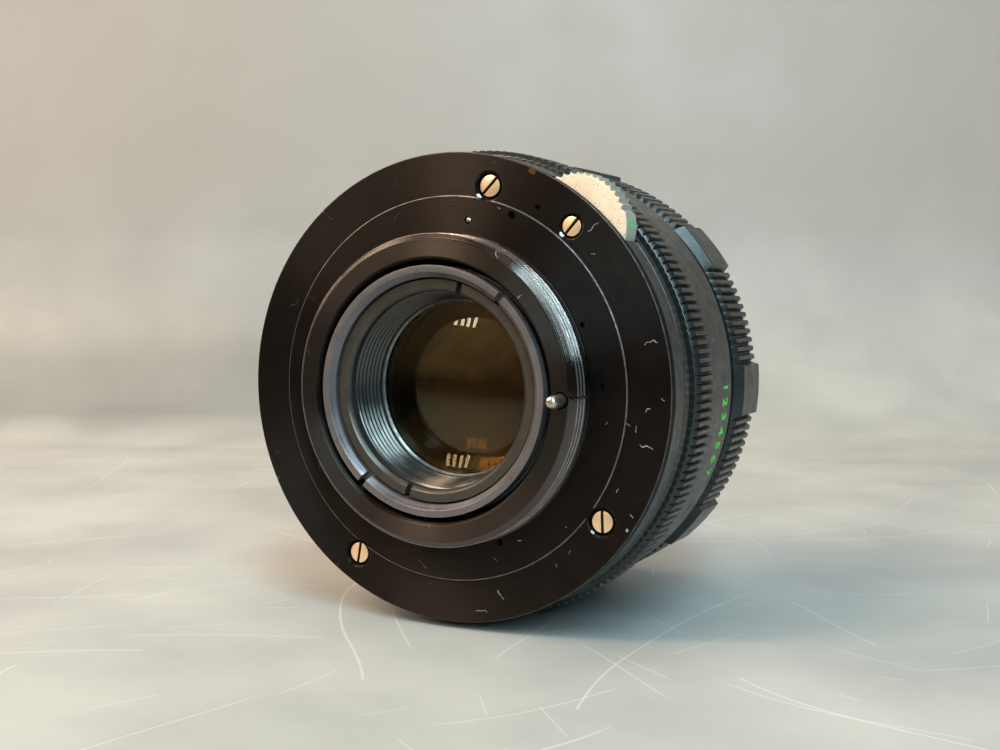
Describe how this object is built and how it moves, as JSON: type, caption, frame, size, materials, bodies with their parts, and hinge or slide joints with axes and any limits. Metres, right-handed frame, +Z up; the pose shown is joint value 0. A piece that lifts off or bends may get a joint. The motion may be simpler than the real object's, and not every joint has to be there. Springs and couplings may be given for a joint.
{
  "type": "camera lens",
  "caption": "Screw-mount camera lens on its side: threaded mount with diaphragm pin, auto/manual switch, knurled aperture ring, lobed focusing ring, glass and iris.",
  "frame": {"origin": "on the surface the lens lies on, under the middle of its bounding box", "axes": "optical axis along Y at 33 mm height, screw mount facing -Y, filter end facing +Y, +Z up"},
  "size_m": [0.066, 0.0582, 0.066],
  "materials": {
    "gloss_black": "black anodised, turned face, semi-gloss",
    "matt_black": "black anodised, fine matt",
    "satin_black": "black anodised, satin",
    "grey_anodised": "thin worn anodising, mauve-grey",
    "silver": "bare, fine satin",
    "raw_aluminium": "bare, as turned",
    "brass": "bright, brushed",
    "steel": "ground",
    "blade_steel": "blackened spring steel",
    "coated_glass": "polished, amber and green coating"
  },
  "bodies": {
    "barrel": {"main_barrel": "matt_black", "mount_plate": "gloss_black", "mount_screw_1": "brass", "mount_screw_2": "brass", "mount_screw_3": "brass", "switch_pivot_screw": "brass", "locating_pin": "steel", "index_ring": "satin_black", "guide_key": "steel", "guide_key_screw": "brass", "click_ball": "steel", "click_spring": "brass"},
    "aperture_control": {"aperture_ring": "matt_black", "aperture_drive_arm": "steel"},
    "pin": {"aperture_pin": "steel"},
    "stopdown": {"stopdown_ring": "steel"},
    "switch": {"auto_manual_switch": "silver"},
    "optics": {"inner_barrel": "raw_aluminium", "rear_lock_ring": "grey_anodised", "rear_retaining_ring": "satin_black", "rear_cell": "satin_black", "rear_glass": "coated_glass", "rear_spacer": "satin_black", "rear_doublet_convex": "coated_glass", "rear_doublet_concave": "coated_glass", "rear_doublet_ring": "satin_black", "diaphragm_housing": "matt_black", "diaphragm_cover": "matt_black", "front_cell": "matt_black", "front_doublet_concave": "coated_glass", "front_doublet_convex": "coated_glass", "front_spacer": "satin_black", "front_glass": "coated_glass", "front_retaining_ring": "satin_black", "front_barrel": "gloss_black", "front_trim_ring": "satin_black"},
    "iris_drive": {"iris_ring": "steel"},
    "focusing": {"helicoid_sleeve": "raw_aluminium", "focus_grip": "matt_black", "distance_ring": "matt_black", "focus_grub_screw_1": "steel", "focus_grub_screw_2": "steel", "focus_grub_screw_3": "steel"},
    "blade_1": {"iris_blade_1": "blade_steel"},
    "blade_2": {"iris_blade_2": "blade_steel"},
    "blade_3": {"iris_blade_3": "blade_steel"},
    "blade_4": {"iris_blade_4": "blade_steel"},
    "blade_5": {"iris_blade_5": "blade_steel"},
    "blade_6": {"iris_blade_6": "blade_steel"}
  },
  "joints": [
    {"name": "focus_extend", "type": "slide", "parent": "barrel", "child": "optics", "axis": [0, 1, 0], "range_m": [-0.003, 0.005]},
    {"name": "focus_turn", "type": "hinge", "parent": "optics", "child": "focusing", "pos_m": [0, 0.0091, 0.033], "axis": [0, 1, 0], "range_deg": [-100, 166.67]},
    {"name": "aperture_turn", "type": "hinge", "parent": "barrel", "child": "aperture_control", "pos_m": [0, -0.0089, 0.033], "axis": [0, -1, 0], "range_deg": [0, 75]},
    {"name": "iris_turn", "type": "hinge", "parent": "optics", "child": "iris_drive", "pos_m": [0, -0.0039, 0.033], "axis": [0, -1, 0], "range_deg": [0, 75]},
    {"name": "pin_press", "type": "slide", "parent": "barrel", "child": "pin", "axis": [0, 1, 0], "range_m": [0, 0.0024], "stiffness_N_per_m": 200, "springref_m": -0.002},
    {"name": "stopdown_turn", "type": "hinge", "parent": "barrel", "child": "stopdown", "pos_m": [0, -0.0159, 0.033], "axis": [0, -1, 0], "range_deg": [0, 16]},
    {"name": "switch_turn", "type": "hinge", "parent": "barrel", "child": "switch", "pos_m": [0.01809, -0.0179, 0.05463], "axis": [0, 1, 0], "range_deg": [0, 40]},
    {"name": "blade_1_turn", "type": "hinge", "parent": "optics", "child": "blade_1", "pos_m": [0.0171, -0.0019, 0.03923], "axis": [0, -1, 0], "range_deg": [0, 28]},
    {"name": "blade_2_turn", "type": "hinge", "parent": "optics", "child": "blade_2", "pos_m": [0.00316, -0.0019, 0.05092], "axis": [0, -1, 0], "range_deg": [0, 28]},
    {"name": "blade_3_turn", "type": "hinge", "parent": "optics", "child": "blade_3", "pos_m": [-0.01394, -0.0019, 0.0447], "axis": [0, -1, 0], "range_deg": [0, 28]},
    {"name": "blade_4_turn", "type": "hinge", "parent": "optics", "child": "blade_4", "pos_m": [-0.0171, -0.0019, 0.02678], "axis": [0, -1, 0], "range_deg": [0, 28]},
    {"name": "blade_5_turn", "type": "hinge", "parent": "optics", "child": "blade_5", "pos_m": [-0.00316, -0.0019, 0.01508], "axis": [0, -1, 0], "range_deg": [0, 28]},
    {"name": "blade_6_turn", "type": "hinge", "parent": "optics", "child": "blade_6", "pos_m": [0.01394, -0.0019, 0.0213], "axis": [0, -1, 0], "range_deg": [0, 28]}
  ],
  "couplings": [
    {"joint": "focus_extend", "follows": "focus_turn", "m_per_rad": 0.0017188},
    {"joint": "iris_turn", "follows": "aperture_turn", "ratio": 1},
    {"joint": "stopdown_turn", "follows": "pin_press", "rad_per_m": 115},
    {"joint": "blade_1_turn", "follows": "aperture_turn", "ratio": 0.373},
    {"joint": "blade_2_turn", "follows": "aperture_turn", "ratio": 0.373},
    {"joint": "blade_3_turn", "follows": "aperture_turn", "ratio": 0.373},
    {"joint": "blade_4_turn", "follows": "aperture_turn", "ratio": 0.373},
    {"joint": "blade_5_turn", "follows": "aperture_turn", "ratio": 0.373},
    {"joint": "blade_6_turn", "follows": "aperture_turn", "ratio": 0.373}
  ]
}
